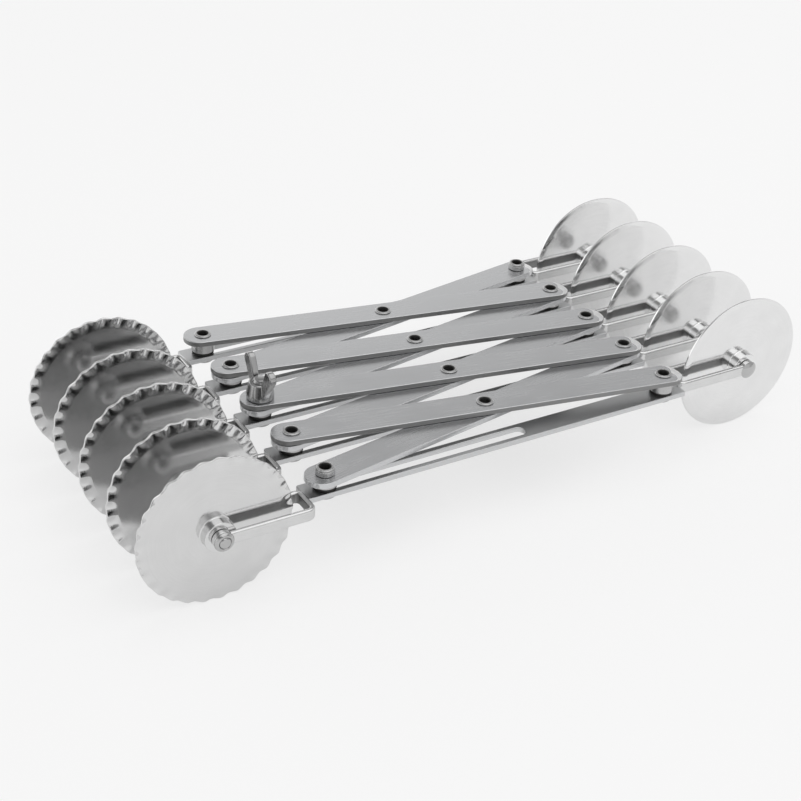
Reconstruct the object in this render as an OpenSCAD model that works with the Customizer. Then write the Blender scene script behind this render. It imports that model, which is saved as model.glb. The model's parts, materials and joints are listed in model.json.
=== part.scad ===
// Expandable dough cutter, all stainless steel: five rows on a lazy-tong lattice,
// with a fluted wheel at one end of each row and a plain wheel at the other.
// Origin on the floor under the middle, +X towards the plain wheels, +Z up.
// Row 1 is at +Y and row 5 at -Y. Turned half a turn about Z, the forks and wheels repeat.

/* [Lattice] */
// Distance between the two end pivots of a lattice bar
bar_pivot_len = 144; // [136:1:152]
// Spacing of the rows as drawn
row_pitch = 24.6; // [20:0.1:48]
// Widest angle of a lattice bar to the rows, where the slots end
open_angle = 63.6; // [50:0.1:66]
// Width of a lattice bar
bar_w = 12; // [10:0.5:13]
// How far a lattice bar reaches past its end pivots
bar_end = 7.3; // [6.5:0.1:8]
// Thickness of a lattice bar
bar_t = 2; // [1.5:0.1:2.5]

/* [Row bars] */
// Width of a row bar
row_bar_w = 9; // [8:0.5:11]
// Thickness of a row bar
row_bar_t = 2; // [1.5:0.1:2.5]

/* [Pivots] */
// Radius of a pivot tube in the lattice bars
tube_r = 2.5; // [2.2:0.05:2.8]
// Radius of the open hole through a pivot tube
tube_bore_r = 1.8; // [1.2:0.05:1.9]
// Width of the rolled rim beyond the tube
rim_w = 0.65; // [0.4:0.05:1]
// Thickness of the rolled rim
rim_t = 0.45; // [0.3:0.05:0.8]
// Radius of the neck that slides in a row bar's slot
neck_r = 2.3; // [2.1:0.05:2.6]
// Radius of the shoulder between a row bar and the lattice
shoulder_r = 4.4; // [3.2:0.05:4.8]
// Height of that shoulder
shoulder_h = 3; // [2:0.1:5]
// Radius of the foot under a row bar
foot_r = 4; // [3.6:0.1:4.6]
// Thickness of that foot
foot_t = 0.7; // [0.5:0.1:1.5]
// Radius of the spacer bush in an empty lattice layer
spacer_r = 3.35; // [3.1:0.05:4.5]

/* [Forks] */
// Clear width between the two prongs
fork_gap_w = 8.9; // [7:0.1:10]
// Thickness of the fork strip
strip_t = 2; // [1.2:0.1:2.5]
// Height of the fork strip
strip_h = 4.5; // [4:0.1:6]
// Radius of the eye at the end of a prong
eye_r = 3.4; // [3:0.1:4.2]
// Inside radius of the fork's bends
bend_r = 1.2; // [0.6:0.1:2]
// Gap between the lattice bars and the back of a fork
fork_back_gap = 1.2; // [0.4:0.1:6]
// Gap between the back of a fork and the wheel's rim
fork_rim_gap = 4.3; // [2:0.1:10]

/* [Axles] */
// Radius of an axle screw
axle_r = 2; // [1.5:0.05:2.4]
// Radius of its head
head_r = 3.5; // [3:0.1:4.2]
// Height of its head
head_h = 1.2; // [0.8:0.1:2.2]
// Radius of an axle's round nut
nut_r = 3.5; // [3:0.1:4.2]
// Thickness of that nut
nut_h = 1.4; // [1:0.1:2.4]
// Length of screw that stands out of its nut
screw_tip = 0.2; // [0.1:0.1:0.8]
// Gap between neighbouring rows when the cutter is closed up
closed_gap = 0.5; // [0.3:0.1:3]

/* [Wheels] */
// Diameter of a wheel
wheel_d = 55; // [50:1:65]
// Thickness of a wheel's web
web_t = 1.4; // [1:0.1:2]
// Thickness of a wheel at its rim
edge_t = 0.7; // [0.5:0.1:1]
// Width of the bevel at a plain wheel's rim
bevel_w = 1.8; // [0.5:0.1:4]
// Radius of a wheel's hub
hub_r = 5.6; // [4.5:0.1:7]
// Number of flutes on a fluted wheel
flute_count = 28; // [20:1:36]
// Height of a flute to each side
flute_depth = 0.5; // [0.3:0.1:1.2]
// Radial length of the flutes
flute_len = 4.2; // [3:0.1:8]

/* [Wing nut] */
// Radius of the boss at its base
boss_r = 5; // [4.2:0.1:5.6]
// Radius of the boss at its top
boss_top_r = 4.1; // [3.6:0.1:4.8]
// Height of the boss
boss_h = 6.5; // [5:0.1:8]
// Height of the plain band at the foot of the boss
boss_band_h = 1.8; // [1:0.1:2.5]
// Reach of a wing from the middle
wing_reach = 10.5; // [9:0.1:11.5]
// Height of the wing tips above the foot of the boss
wing_h = 14; // [11:0.1:15]
// Thickness of a wing
wing_t = 2.6; // [1.8:0.1:3.2]
// Radius of a wing's round tip
wing_tip_r = 2.6; // [2:0.1:3]
// Length of stud that stands out of the wing nut
stud_tip = 1.2; // [0.5:0.1:3]

/* [Clearances] */
// Radial clearance of a pivot or an axle
fit_gap = 0.05; // [0.03:0.01:0.08]
// Clearance between flat faces that slide
slide_gap = 0.15; // [0.1:0.05:0.3]
// Clearance of a neck from the sides of its slot
slot_gap = 0.1; // [0.06:0.01:0.2]
// Clearance of a neck from the ends of its slot
slot_end_gap = 0.3; // [0.2:0.05:1]

/* [Hidden] */
$fn = 64;
// How far a cut runs past the faces that it opens
cut = 1;
row_count = 5;
rows = [1 : row_count];
links = [1 : row_count - 1];
lock_row = 3;
fork_ends = ["fluted", "plain"];

// The lattice as drawn
rest_angle = asin(row_pitch / bar_pivot_len);
half_span = bar_pivot_len * cos(rest_angle) / 2;
function row_y(i) = ((row_count + 1) / 2 - i) * row_pitch;
function link_y(i) = (row_y(i) + row_y(i + 1)) / 2;

// Heights, built up from the axles
wheel_r = wheel_d / 2;
axle_z = wheel_r;
row_bar_z = axle_z - row_bar_t / 2;
row_bar_top = row_bar_z + row_bar_t;
lower_z = row_bar_top + shoulder_h + 2 * slide_gap;
upper_z = lower_z + bar_t + slide_gap;
lattice_top = upper_z + bar_t;
rim_r = tube_r + rim_w;
pivot_hole_r = tube_r + fit_gap;

// Forks and axles, along a row
fork_x = half_span + bar_end + fork_back_gap;
axle_x = fork_x + strip_t + fork_rim_gap + wheel_r;
prong_pitch = fork_gap_w + strip_t;
wheel_y = prong_pitch / 2;
hub_l = fork_gap_w - 2 * slide_gap;
axle_hole_r = axle_r + fit_gap;

// Closest rows, and the slot that the sliding pivots need
closed_pitch = prong_pitch + strip_t + head_h + nut_h + screw_tip + closed_gap;
closed_angle = asin(closed_pitch / bar_pivot_len);
slot_r = neck_r + slot_gap;
slot_x0 = half_span - bar_pivot_len * cos(closed_angle) - slot_end_gap;
slot_x1 = half_span - bar_pivot_len * cos(open_angle) + slot_end_gap;

// Fluted rim: rings from the web to the edge, with the wave growing outwards
flute_samples = 4;
flute_n = flute_count * flute_samples;
flute_inner_r = wheel_r - flute_len;
flute_root_w = 1;
flute_root_t = 0.2;
flute_ring_shares = [0, 0.38, 1];
flute_wave_shares = [0, 1, 1];
flute_rings = len(flute_ring_shares);

// Wing nut
wing_root_share = 0.6;
wing_angle = 40;

// Places: the plain end of a row, the fluted end half a turn from it, and a pivot
module plain_end(i) {
    translate([axle_x, row_y(i), axle_z])
        children();
}

module fluted_end(i) {
    translate([0, row_y(i), 0])
        rotate([0, 0, 180])
            translate([axle_x, 0, axle_z])
                children();
}

module both_ends(i) {
    plain_end(i) children();
    fluted_end(i) children();
}

module end_place(i) {
    translate([half_span, row_y(i), 0])
        children();
}

module slide_place(i) {
    translate([-half_span, row_y(i), 0])
        children();
}

// Turns a shape that is made about Z so that it lies along Y
module along_y() {
    rotate([-90, 0, 0])
        children();
}

// Flat strip outline with round ends, centred on the middle of its length
module round_strip(len, r) {
    square([len, 2 * r], center = true);
    for (side = [-1, 1])
        translate([side * len / 2, 0])
            circle(r);
}

// Row bar: flat bar with a slot for the sliding pivot and a hole for the fixed one
module row_bar(i) {
    color("silver")
        translate([0, row_y(i), row_bar_z])
            linear_extrude(row_bar_t)
                difference() {
                    square([2 * fork_x, row_bar_w], center = true);
                    translate([(slot_x0 + slot_x1) / 2, 0])
                        round_strip(slot_x1 - slot_x0, slot_r);
                    translate([half_span, 0])
                        circle(neck_r + fit_gap);
                }
}

// Fork seen from above, with its axle at the origin and its first prong on the row line
module fork_outline() {
    back_x = fork_x - axle_x;
    outer_r = bend_r + strip_t;
    difference() {
        union() {
            translate([back_x + outer_r, -strip_t / 2])
                square([eye_r - back_x - outer_r, prong_pitch + strip_t]);
            translate([back_x, outer_r - strip_t / 2])
                square([outer_r, prong_pitch + strip_t - 2 * outer_r]);
            for (y = [outer_r - strip_t / 2, prong_pitch + strip_t / 2 - outer_r])
                translate([back_x + outer_r, y])
                    circle(outer_r);
        }
        translate([back_x + outer_r, strip_t / 2])
            square([eye_r - back_x, fork_gap_w]);
        translate([back_x + strip_t, strip_t / 2 + bend_r])
            square([outer_r, fork_gap_w - 2 * bend_r]);
        for (y = [strip_t / 2 + bend_r, prong_pitch - strip_t / 2 - bend_r])
            translate([back_x + outer_r, y])
                circle(bend_r);
    }
}

// Fork seen from its side: a straight strip that ends in an eye round the axle
module fork_side() {
    back_x = fork_x - axle_x;
    difference() {
        union() {
            translate([back_x, -strip_h / 2])
                square([-back_x, strip_h]);
            circle(eye_r);
        }
        circle(axle_hole_r);
    }
}

module fork() {
    color("gainsboro")
        intersection() {
            translate([0, 0, -eye_r])
                linear_extrude(2 * eye_r)
                    fork_outline();
            translate([0, -strip_t, 0])
                rotate([90, 0, 0])
                    mirror([0, 0, 1])
                        linear_extrude(prong_pitch + 2 * strip_t)
                            fork_side();
        }
}

// Axle screw with a low domed head against the first prong
module axle_screw() {
    shank_l = prong_pitch + strip_t + nut_h + screw_tip;
    dome_r = (head_r * head_r + head_h * head_h) / (2 * head_h);
    color("whitesmoke")
        translate([0, -strip_t / 2, 0])
            along_y() {
                cylinder(shank_l, r = axle_r);
                intersection() {
                    translate([0, 0, -head_h])
                        cylinder(head_h, r = head_r);
                    translate([0, 0, dome_r - head_h])
                        sphere(dome_r);
                }
            }
}

// Low round nut against the second prong
module axle_nut() {
    color("lightgray")
        translate([0, prong_pitch + strip_t / 2, 0])
            along_y()
                difference() {
                    cylinder(nut_h, r = nut_r);
                    translate([0, 0, -cut])
                        cylinder(nut_h + 2 * cut, r = axle_hole_r);
                }
}

// Lattice bar: flat bar with three pivot holes, turned by the rest angle
module lattice_bar(i, turn, z) {
    color("silver")
        translate([0, link_y(i), z])
            rotate([0, 0, turn])
                linear_extrude(bar_t)
                    difference() {
                        round_strip(bar_pivot_len + 2 * bar_end - bar_w, bar_w / 2);
                        for (x = [-bar_pivot_len / 2, 0, bar_pivot_len / 2])
                            translate([x, 0])
                                circle(pivot_hole_r);
                    }
}

module upper_bar(i) {
    lattice_bar(i, -rest_angle, upper_z);
}

module lower_bar(i) {
    lattice_bar(i, rest_angle, lower_z);
}

// Pivot post: foot under the row bar, neck through it, shoulder, and a shank
module post(neck_low, neck_high, shoulder_top, shank_top) {
    translate([0, 0, neck_low - foot_t])
        cylinder(foot_t, r = foot_r);
    translate([0, 0, neck_low])
        cylinder(neck_high - neck_low, r = neck_r);
    translate([0, 0, neck_high])
        cylinder(shoulder_top - neck_high, r = shoulder_r);
    translate([0, 0, shoulder_top])
        cylinder(shank_top - shoulder_top, r = tube_r);
}

module rolled_rim(z) {
    translate([0, 0, z])
        cylinder(rim_t, r = rim_r);
}

module tube_bore(low, high) {
    translate([0, 0, low - cut])
        cylinder(high - low + 2 * cut, r = tube_bore_r);
}

// The shoulder reaches the lattice bar above it, past an empty lower layer where there is one
function shoulder_top(empty_lower) = (empty_lower ? upper_z : lower_z) - slide_gap;

module tubular_post(neck_low, neck_high, empty_lower) {
    rim_z = lattice_top + slide_gap;
    difference() {
        union() {
            post(neck_low, neck_high, shoulder_top(empty_lower), rim_z);
            rolled_rim(rim_z);
        }
        tube_bore(neck_low - foot_t, rim_z + rim_t);
    }
}

// Fixed pivot, riveted through its row bar
module end_pivot(i) {
    color("gainsboro")
        end_place(i)
            tubular_post(row_bar_z, row_bar_top, i == row_count);
}

// Sliding pivot, free to run along the slot
module slide_pivot(i) {
    color("gainsboro")
        slide_place(i)
            tubular_post(row_bar_z - slide_gap, row_bar_top + slide_gap, i == 1);
}

// Sliding pivot of the middle row: a solid stud that carries the wing nut
module lock_stud() {
    nut_z = lattice_top + slide_gap;
    color("gainsboro")
        slide_place(lock_row)
            post(
                row_bar_z - slide_gap,
                row_bar_top + slide_gap,
                shoulder_top(false),
                nut_z + boss_h + stud_tip
            );
}

// Tubular rivet where two lattice bars cross
module middle_rivet(i) {
    low = lower_z - slide_gap - rim_t;
    rim_z = lattice_top + slide_gap;
    color("gainsboro")
        translate([0, link_y(i), 0])
            difference() {
                union() {
                    rolled_rim(low);
                    translate([0, 0, low])
                        cylinder(rim_z - low, r = tube_r);
                    rolled_rim(rim_z);
                }
                tube_bore(low, rim_z + rim_t);
            }
}

// Bush that fills the empty upper layer at a corner of the lattice
module spacer() {
    color("gainsboro")
        translate([0, 0, upper_z])
            difference() {
                cylinder(bar_t, r = spacer_r);
                translate([0, 0, -cut])
                    cylinder(bar_t + 2 * cut, r = pivot_hole_r);
            }
}

module end_spacer() {
    end_place(1) spacer();
}

module slide_spacer() {
    slide_place(row_count) spacer();
}

// One wing of the wing nut, as an outline in the plane of the wings
module wing_outline() {
    tip = [wing_reach - wing_tip_r, wing_h - wing_tip_r];
    low_side = wing_tip_r * [cos(-wing_angle), sin(-wing_angle)];
    polygon([
        [wing_root_share * boss_r, boss_band_h],
        [boss_r, boss_band_h],
        tip + low_side,
        tip - low_side,
        [wing_root_share * boss_r, boss_h]
    ]);
    translate(tip)
        circle(wing_tip_r);
}

// Wing nut with its wings across the rows
module wing_nut() {
    color("gainsboro")
        slide_place(lock_row)
            translate([0, 0, lattice_top + slide_gap])
                difference() {
                    union() {
                        cylinder(boss_band_h, r = boss_r);
                        translate([0, 0, boss_band_h])
                            cylinder(boss_h - boss_band_h, boss_r, boss_top_r);
                        for (turn = [90, -90])
                            rotate([90, 0, turn])
                                translate([0, 0, -wing_t / 2])
                                    linear_extrude(wing_t)
                                        wing_outline();
                    }
                    translate([0, 0, -cut])
                        cylinder(boss_h + 2 * cut, r = pivot_hole_r);
                }
}

// Wheel profile from the bore to the given radius, with the hub on both sides of the web
module wheel_profile(r, bevel, web) {
    polygon([
        [axle_hole_r, -hub_l / 2],
        [hub_r, -hub_l / 2],
        [hub_r, -web / 2],
        [r - bevel, -web / 2],
        [r, -min(web, edge_t) / 2],
        [r, min(web, edge_t) / 2],
        [r - bevel, web / 2],
        [hub_r, web / 2],
        [hub_r, hub_l / 2],
        [axle_hole_r, hub_l / 2]
    ]);
}

module plain_wheel_at_axle() {
    color("white")
        translate([0, wheel_y, 0])
            along_y()
                rotate_extrude()
                    wheel_profile(wheel_r, bevel_w, web_t);
}

// Points of the fluted rim, on two sides of a web that waves from side to side
function flute_r(k) = flute_inner_r + (wheel_r - flute_inner_r) * flute_ring_shares[k];
function flute_mid(k, j) = flute_depth * flute_wave_shares[k] * sin(360 * j / flute_samples);
function flute_half(k) = (web_t + (edge_t - web_t) * flute_ring_shares[k]) / 2;
function flute_point(k, j, side) = [
    flute_r(k) * cos(360 * j / flute_n),
    flute_r(k) * sin(360 * j / flute_n),
    flute_mid(k, j) + side * flute_half(k)
];
function flute_index(k, j, side) = (k * flute_n + j % flute_n) * 2 + (side > 0 ? 1 : 0);

// Two triangles between four corners, named in order round the face
function two_faces(a, b, c, d) = [[a, b, c], [a, c, d]];

module fluted_rim() {
    last = flute_rings - 1;
    points = [
        for (k = [0 : last], j = [0 : flute_n - 1], side = [-1, 1])
            flute_point(k, j, side)
    ];
    web_faces = [
        for (k = [0 : last - 1], j = [0 : flute_n - 1], side = [-1, 1])
            let (
                a = flute_index(k, j, side),
                b = flute_index(k, j + 1, side),
                c = flute_index(k + 1, j + 1, side),
                d = flute_index(k + 1, j, side)
            )
            each side > 0 ? two_faces(a, b, c, d) : two_faces(d, c, b, a)
    ];
    edge_faces = [
        for (k = [0, last], j = [0 : flute_n - 1])
            let (
                a = flute_index(k, j, -1),
                b = flute_index(k, j + 1, -1),
                c = flute_index(k, j + 1, 1),
                d = flute_index(k, j, 1)
            )
            each k == 0 ? two_faces(a, b, c, d) : two_faces(d, c, b, a)
    ];
    polyhedron(points, concat(web_faces, edge_faces));
}

// Fluted wheel: a flat core, a shade thicker than the waved rim that grows out of it
module fluted_wheel_at_axle() {
    color("white")
        translate([0, wheel_y, 0])
            along_y() {
                rotate_extrude()
                    wheel_profile(flute_inner_r + flute_root_w, 0, web_t + flute_root_t);
                fluted_rim();
            }
}

// Row bars, their forks, axles, fixed pivots and wheels
for (i = rows) {
    row_bar(i);
    fluted_end(i) fork();
    plain_end(i) fork();
    both_ends(i) axle_screw();
    both_ends(i) axle_nut();
    end_pivot(i);
    fluted_end(i) fluted_wheel_at_axle();
    plain_end(i) plain_wheel_at_axle();
}

// Lattice bars and the rivets where they cross
for (i = links) {
    upper_bar(i);
    lower_bar(i);
    middle_rivet(i);
}

// Sliding pivots, of which the middle one is the lock
for (i = [1, 2, 4, 5])
    slide_pivot(i);
lock_stud();
wing_nut();
end_spacer();
slide_spacer();
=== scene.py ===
import functools
import json
import math

import bmesh
import bpy
from bpy.props import FloatProperty, FloatVectorProperty, IntProperty, PointerProperty
from mathutils import Matrix, Vector


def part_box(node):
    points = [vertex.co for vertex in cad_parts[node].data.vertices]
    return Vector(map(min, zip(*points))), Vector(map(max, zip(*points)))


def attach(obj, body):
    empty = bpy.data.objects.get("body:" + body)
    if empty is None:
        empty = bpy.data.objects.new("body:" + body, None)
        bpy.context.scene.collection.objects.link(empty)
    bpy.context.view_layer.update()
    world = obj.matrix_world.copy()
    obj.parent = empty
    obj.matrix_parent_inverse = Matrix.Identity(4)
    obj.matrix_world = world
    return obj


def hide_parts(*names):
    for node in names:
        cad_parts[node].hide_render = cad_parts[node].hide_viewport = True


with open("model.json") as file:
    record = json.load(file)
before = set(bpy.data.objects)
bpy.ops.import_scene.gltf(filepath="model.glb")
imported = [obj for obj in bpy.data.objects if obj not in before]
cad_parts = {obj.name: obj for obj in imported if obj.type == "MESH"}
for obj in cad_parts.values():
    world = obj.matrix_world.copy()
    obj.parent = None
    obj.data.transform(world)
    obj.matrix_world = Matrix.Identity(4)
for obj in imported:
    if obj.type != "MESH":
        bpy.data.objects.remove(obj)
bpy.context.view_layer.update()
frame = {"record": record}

bl_info = {
    "name": "Expandable Dough Cutter",
    "version": (1, 0, 0),
    "blender": (4, 5, 0),
    "location": "View3D > Sidebar > Dough Cutter",
    "description": "Builds the finished pieces of a lazy-tong dough cutter and its studio",
    "category": "Object",
}

MM = 0.001
ROWS = (1, 2, 3, 4, 5)
LINKS = (1, 2, 3, 4)
LOCK_ROW = 3

# Small measures that several pieces share
HOLE_PLAY = 0.05 * MM
PIVOT_PLAY = 0.15 * MM
FOOT_RADIUS = 4 * MM
FOOT_EDGE = 0.2 * MM
COLLAR_INSET = 0.3 * MM
ROLLED_EDGE = 0.42 * MM
HAIR = 0.01 * MM

# Steps of a full turn
PIVOT_STEPS = 48
RING_STEPS = 64

# Distances in metres below which points or levels count as the same
SAME_POINT = 1e-7
SAME_LEVEL = 1e-6


@functools.lru_cache(maxsize=None)
def box_of(node):
    """Lowest and highest corners of a CAD node, looked up once."""
    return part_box(node)


def centre_of(node):
    """Middle of a CAD node's box."""
    low, high = box_of(node)
    return (low + high) / 2


def size_of(node):
    """Size of a CAD node's box."""
    low, high = box_of(node)
    return high - low


# Places that the frame gives
END_X = centre_of("end_pivot_1").x
SLIDE_X = centre_of("slide_pivot_1").x
PLAIN_AXLE = centre_of("plain_wheel_3")
FLUTED_AXLE = centre_of("fluted_wheel_3")
ROW_Y = {i: centre_of(f"row_bar_{i}").y for i in ROWS}
LINK_Y = {i: centre_of(f"upper_bar_{i}").y for i in LINKS}
LATTICE_TURN = math.atan2(ROW_Y[1] - ROW_Y[2], END_X - SLIDE_X)
PIVOT_SPAN = math.hypot(END_X - SLIDE_X, ROW_Y[1] - ROW_Y[2])


# Sizes and finishes that a user may change
def length_prop(name, description, millimetres):
    """Property for a length, with its default in millimetres."""
    return FloatProperty(
        name=name, description=description, default=millimetres * MM, unit="LENGTH"
    )


def share_prop(name, description, default):
    """Property for a share of one."""
    return FloatProperty(name=name, description=description, default=default, subtype="FACTOR")


def colour_prop(name, description, default):
    """Property for a colour."""
    return FloatVectorProperty(
        name=name, description=description, default=default, subtype="COLOR"
    )


def grey_prop(name, description, level):
    """Property for a colour whose default is a plain grey."""
    return colour_prop(name, description, (level, level, level))


class CutterSizes(bpy.types.PropertyGroup):
    """Sizes of the finished pieces that the frame's boxes don't give"""

    lattice_width: length_prop("Lattice bar width", "Width of a flat lattice bar", 12)
    lattice_edge: length_prop(
        "Lattice bar edge", "Radius of the rolled edge round a lattice bar", 0.22
    )
    tip_slope: length_prop("Tip slope", "Length of the worn slope at a lattice bar's tip", 3.8)
    tip_drop: length_prop("Tip drop", "Drop of the worn slope at a lattice bar's tip", 0.55)
    bar_edge: length_prop(
        "Bar edge", "Radius of the tumbled edges of the row bars and of all holes", 0.28
    )
    pivot_hole: length_prop("Pivot hole", "Radius of the pivot holes in a lattice bar", 2.55)
    tube_radius: length_prop(
        "Pivot tube", "Radius of a pivot tube where it runs in the lattice bars", 2.5
    )
    tube_bore: length_prop("Pivot bore", "Radius of the open hole through a pivot tube", 1.8)
    rim_radius: length_prop("Rolled rim", "Outer radius of a pivot tube's rolled rim", 3.15)
    rim_height: length_prop("Rim height", "Height of a rolled rim", 0.45)
    neck_radius: length_prop("Pivot neck", "Radius of a pivot's neck in the row bar", 2.3)
    shoulder_radius: length_prop(
        "Pivot shoulder", "Radius of the shoulder that carries the lattice", 4.4
    )
    # The collar carries painted shade: near-black steel where the shoulder shades it
    collar_height: length_prop(
        "Dark collar", "Height of the blackened collar under a pivot's shoulder", 1.1
    )
    slot_radius: length_prop("Slot half width", "Half the width of the slot in a row bar", 2.4)
    slot_start: length_prop(
        "Slot start", "Place of the slot's first round end along the row", -72.44
    )
    slot_stop: length_prop("Slot stop", "Place of the slot's last round end along the row", 7.21)
    strip_thickness: length_prop(
        "Fork strip thickness", "Thickness of the strip that a fork is bent from", 2
    )
    strip_height: length_prop(
        "Fork strip height", "Height of the strip that a fork is bent from", 4.5
    )
    strip_edge: length_prop("Fork strip edge", "Radius of the drawn edge along a fork strip", 0.8)
    bend_radius: length_prop("Fork bend", "Inside radius of a fork's bends", 1.2)
    eye_radius: length_prop("Fork eye", "Radius of the eye at the end of a prong", 3.4)
    axle_radius: length_prop("Axle", "Radius of an axle screw", 2)
    head_radius: length_prop("Screw head radius", "Radius of an axle screw's domed head", 3.5)
    head_height: length_prop("Screw head height", "Height of an axle screw's domed head", 1.2)
    nut_radius: length_prop("Nut radius", "Radius of an axle's low round nut", 3.5)
    nut_height: length_prop("Nut height", "Thickness of an axle's low round nut", 1.4)
    screw_tip: length_prop("Screw tip", "Length of screw that stands out of its nut", 0.2)
    web_thickness: length_prop("Wheel web", "Thickness of a wheel's web", 1.4)
    edge_thickness: length_prop("Wheel edge", "Thickness of a wheel at its rim", 0.7)
    bevel_width: length_prop("Rim bevel", "Width of the ground bevel on a plain wheel", 1.8)
    hub_radius: length_prop("Wheel hub", "Radius of a wheel's hub", 5.6)
    flute_count: IntProperty(
        name="Flutes",
        description="Number of flutes round a fluted wheel",
        default=28,
    )
    flute_depth: length_prop("Flute depth", "Height of a flute to each side of the web", 0.5)
    flute_length: length_prop("Flute length", "Radial length of the flutes", 4.2)
    boss_radius: length_prop("Wing nut boss", "Radius of the wing nut's boss at its foot", 5)
    boss_top_radius: length_prop(
        "Wing nut boss top", "Radius of the wing nut's boss at its top", 4.1
    )
    boss_height: length_prop("Wing nut boss height", "Height of the wing nut's boss", 6.5)
    wing_thickness: length_prop("Wing thickness", "Thickness of a wing at its tip", 2.6)
    wing_tip: length_prop("Wing tip", "Radius of a wing's round tip", 2.6)
    wing_lean: FloatProperty(
        name="Wing lean",
        description="Angle of a wing outwards from upright",
        default=math.radians(40),
        unit="ROTATION",
    )


class CutterFinish(bpy.types.PropertyGroup):
    """Colours and polish of the steel"""

    bar_steel: colour_prop("Bar steel", "Colour of the satin lattice bars", (0.69, 0.695, 0.705))
    row_steel: colour_prop("Row steel", "Colour of the satin row bars", (0.68, 0.685, 0.69))
    # The plain wheels' steel is set lighter than the fluted wheels', as painted light at the plain
    # end
    plain_steel: grey_prop("Plain wheel steel", "Colour of the polished plain wheels", 0.9)
    fluted_steel: grey_prop("Fluted wheel steel", "Colour of the polished fluted wheels", 0.77)
    # Darker steel that paints shade on the back faces of the fluted wheels
    back_shade_steel: grey_prop("Ground steel", "Colour of the ground backs of the fluted wheels", 0.42)
    # Dark steel that paints shade inside the forks, under the lattice and on the upper bars' sides
    shade_paint_steel: grey_prop(
        "Dull steel", "Colour of the unpolished faces inside the forks and under the lattice", 0.3
    )
    # Near-white steel that paints a highlight on the sloped tips of the lattice bars
    tip_highlight_steel: grey_prop("Tip steel", "Colour of the worn tips of the lattice bars", 0.97)
    fork_steel: grey_prop("Fork steel", "Colour of the bright strip of the forks", 0.77)
    turned_steel: grey_prop("Turned steel", "Colour of the pivots, screws and nuts", 0.55)
    lock_steel: grey_prop("Lock steel", "Colour of the cast and tumbled wing nut", 0.44)
    bar_roughness: share_prop("Bar roughness", "Mean roughness of the satin bars", 0.25)
    row_roughness: share_prop("Row roughness", "Mean roughness of the row bars", 0.34)
    wheel_roughness: share_prop("Wheel roughness", "Mean roughness of the polished wheels", 0.13)


class StudioLook(bpy.types.PropertyGroup):
    """Floor and light of the studio"""

    floor_colour: grey_prop("Floor", "Colour of the pale floor", 0.92)
    floor_glow: share_prop(
        "Floor glow", "Share of plain white that the eye sees in the floor", 0.69
    )
    mirrored_glow: share_prop(
        "Mirrored glow", "Share of plain white that reflections see in the floor", 0.25
    )
    sky_low: FloatProperty(
        name="Sky near the horizon",
        description="Brightness of the sky near the horizon",
        default=1.0,
    )
    sky_high: FloatProperty(
        name="Sky overhead",
        description="Brightness of the sky overhead",
        default=0.34,
    )
    sky_behind: share_prop(
        "Sky behind the camera", "Share of the sky's light that comes from behind the camera", 0.6
    )
    lamp_power: FloatProperty(
        name="Lamp power",
        description="Power of each of the two soft lamps overhead",
        unit="POWER",
        default=12.5,
    )


# Mesh helpers
def body_of(node):
    """Body that carries a CAD node."""
    for body, nodes in frame["record"]["behaviour"]["bodies"].items():
        if node in nodes:
            return body
    raise ValueError(f"no body carries {node}")


def bevelled(bm, geom, offset, segments, affect):
    """Rounds vertices or edges with a circular bevel."""
    bmesh.ops.bevel(
        bm,
        geom=geom,
        offset=offset,
        offset_type="OFFSET",
        segments=segments,
        profile=0.5,
        affect=affect,
        material=-1,
    )


def soften(bm, corners):
    """Rounds wire corners; corners are pairs of a vertex and a radius."""
    for vertex, radius in corners:
        if radius > 0:
            bevelled(bm, [vertex], radius, 4 if radius < MM else 10, "VERTICES")


def picked(items, kind):
    """Items of one kind from what an operator has made."""
    return [item for item in items if isinstance(item, kind)]


def turned(bm, corners, steps, closed=True):
    """Turns a profile about Z; each corner is a radius, a height and a rounding."""
    before = set(bm.verts)
    verts = [bm.verts.new((r, 0, z)) for r, z, rounding in corners]
    for first, second in zip(verts, verts[1:]):
        bm.edges.new((first, second))
    if closed:
        bm.edges.new((verts[-1], verts[0]))
    soften(bm, [(vert, corner[2]) for vert, corner in zip(verts, corners)])
    wire = [vert for vert in bm.verts if vert not in before]
    edges = {edge for vert in wire for edge in vert.link_edges}
    bmesh.ops.spin(
        bm,
        geom=wire + list(edges),
        cent=(0, 0, 0),
        axis=(0, 0, 1),
        angle=2 * math.pi,
        steps=steps,
        use_merge=True,
    )
    made = [vert for vert in bm.verts if vert not in before]
    bmesh.ops.remove_doubles(bm, verts=made, dist=SAME_POINT)
    return [vert for vert in bm.verts if vert not in before]


def stretched(bm, verts, half_x, half_y):
    """Moves the four quarters of a turned wall apart into a strip or rounded plate."""
    for side_x in (-1, 1):
        for side_y in (-1, 1):
            quarter = [v for v in verts if v.co.x * side_x > 0 and v.co.y * side_y > 0]
            bmesh.ops.translate(bm, verts=quarter, vec=(side_x * half_x, side_y * half_y, 0))


def plate_wall(bm, levels, radius, edge, outward, half=(0, 0), place=0, steps=RING_STEPS):
    """Wall of a plate's outline or of a hole in it, with a rounded edge at both faces."""
    low, high = levels
    inner = radius - outward * edge
    rounding = 0.98 * edge
    corners = [
        (inner, low, 0),
        (radius, low, rounding),
        (radius, high, rounding),
        (inner, high, 0),
    ]
    verts = turned(bm, corners, steps, closed=False)
    bmesh.ops.rotate(
        bm, verts=verts, cent=(0, 0, 0), matrix=Matrix.Rotation(math.pi / steps, 3, "Z")
    )
    stretched(bm, verts, half[0], half[1])
    bmesh.ops.translate(bm, verts=verts, vec=(place, 0, 0))


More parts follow.
